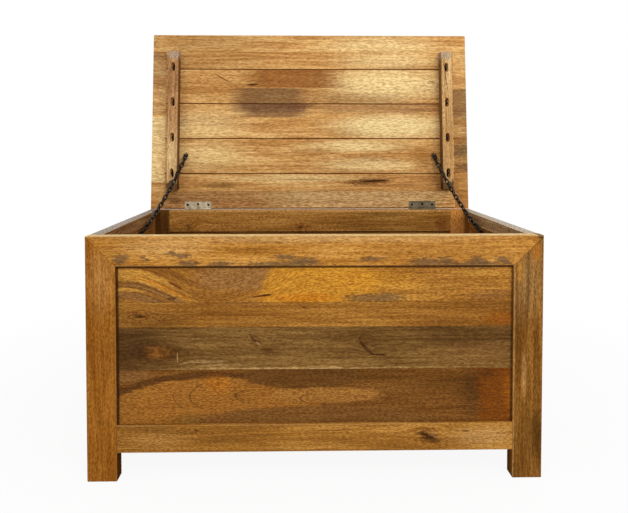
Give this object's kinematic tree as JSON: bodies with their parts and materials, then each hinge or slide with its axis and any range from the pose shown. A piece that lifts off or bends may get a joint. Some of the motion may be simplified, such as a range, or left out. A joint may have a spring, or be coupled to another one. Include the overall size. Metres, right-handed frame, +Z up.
{
  "type": "blanket chest",
  "caption": "Wooden blanket chest: framed and panelled box on short legs, with a plank lid on butt hinges that link chains hold open.",
  "frame": {"origin": "on the floor, at the middle of the box round the chest with its lid open", "axes": "+X to the right seen from the front, +Y from the front to the back, +Z up"},
  "size_m": [0.9, 0.5715, 0.9825],
  "materials": {
    "frame_wood": "satin lacquer, warm tan",
    "panel_wood": "satin lacquer, figured",
    "inside_wood": "thin dull lacquer, dark",
    "lid_wood": "satin lacquer, golden",
    "zinc": "zinc plated",
    "dark_bronze": "dark bronzed"
  },
  "bodies": {
    "chest": {"back_bottom_rail": "inside_wood", "back_left_leg": "inside_wood", "back_panel": "inside_wood", "back_right_leg": "inside_wood", "back_top_rail": "inside_wood", "floor_back_bearer": "inside_wood", "floor_front_bearer": "inside_wood", "floor_left_bearer": "inside_wood", "floor_panel": "inside_wood", "floor_right_bearer": "inside_wood", "front_board_1": "panel_wood", "front_board_2": "panel_wood", "front_board_3": "panel_wood", "front_board_4": "panel_wood", "front_bottom_rail": "frame_wood", "front_left_leg": "frame_wood", "front_right_leg": "frame_wood", "front_top_rail": "frame_wood", "left_bottom_rail": "frame_wood", "left_chain": "dark_bronze", "left_chain_wall_screw": "dark_bronze", "left_front_stile": "frame_wood", "left_hinge_chest_leaf": "zinc", "left_hinge_pin": "zinc", "left_panel": "frame_wood", "left_rear_stile": "frame_wood", "left_rim_strip": "inside_wood", "left_top_rail": "frame_wood", "right_bottom_rail": "frame_wood", "right_chain": "dark_bronze", "right_chain_wall_screw": "dark_bronze", "right_front_stile": "frame_wood", "right_hinge_chest_leaf": "zinc", "right_hinge_pin": "zinc", "right_panel": "frame_wood", "right_rear_stile": "frame_wood", "right_rim_strip": "inside_wood", "right_top_rail": "frame_wood"},
    "lid": {"left_chain_lid_screw": "dark_bronze", "left_hinge_lid_leaf": "zinc", "lid_front_rail": "lid_wood", "lid_left_batten": "lid_wood", "lid_left_end": "lid_wood", "lid_plank_1": "lid_wood", "lid_plank_2": "lid_wood", "lid_plank_3": "lid_wood", "lid_plank_4": "lid_wood", "lid_plank_5": "lid_wood", "lid_rear_rail": "lid_wood", "lid_right_batten": "lid_wood", "lid_right_end": "lid_wood", "right_chain_lid_screw": "dark_bronze", "right_hinge_lid_leaf": "zinc"}
  },
  "joints": [
    {"name": "lid_hinge", "type": "hinge", "parent": "chest", "child": "lid", "pos_m": [0, 0.21407, 0.4853], "axis": [1, 0, 0], "range_deg": [0, 95.7], "deforming": ["left_chain", "right_chain"]}
  ]
}
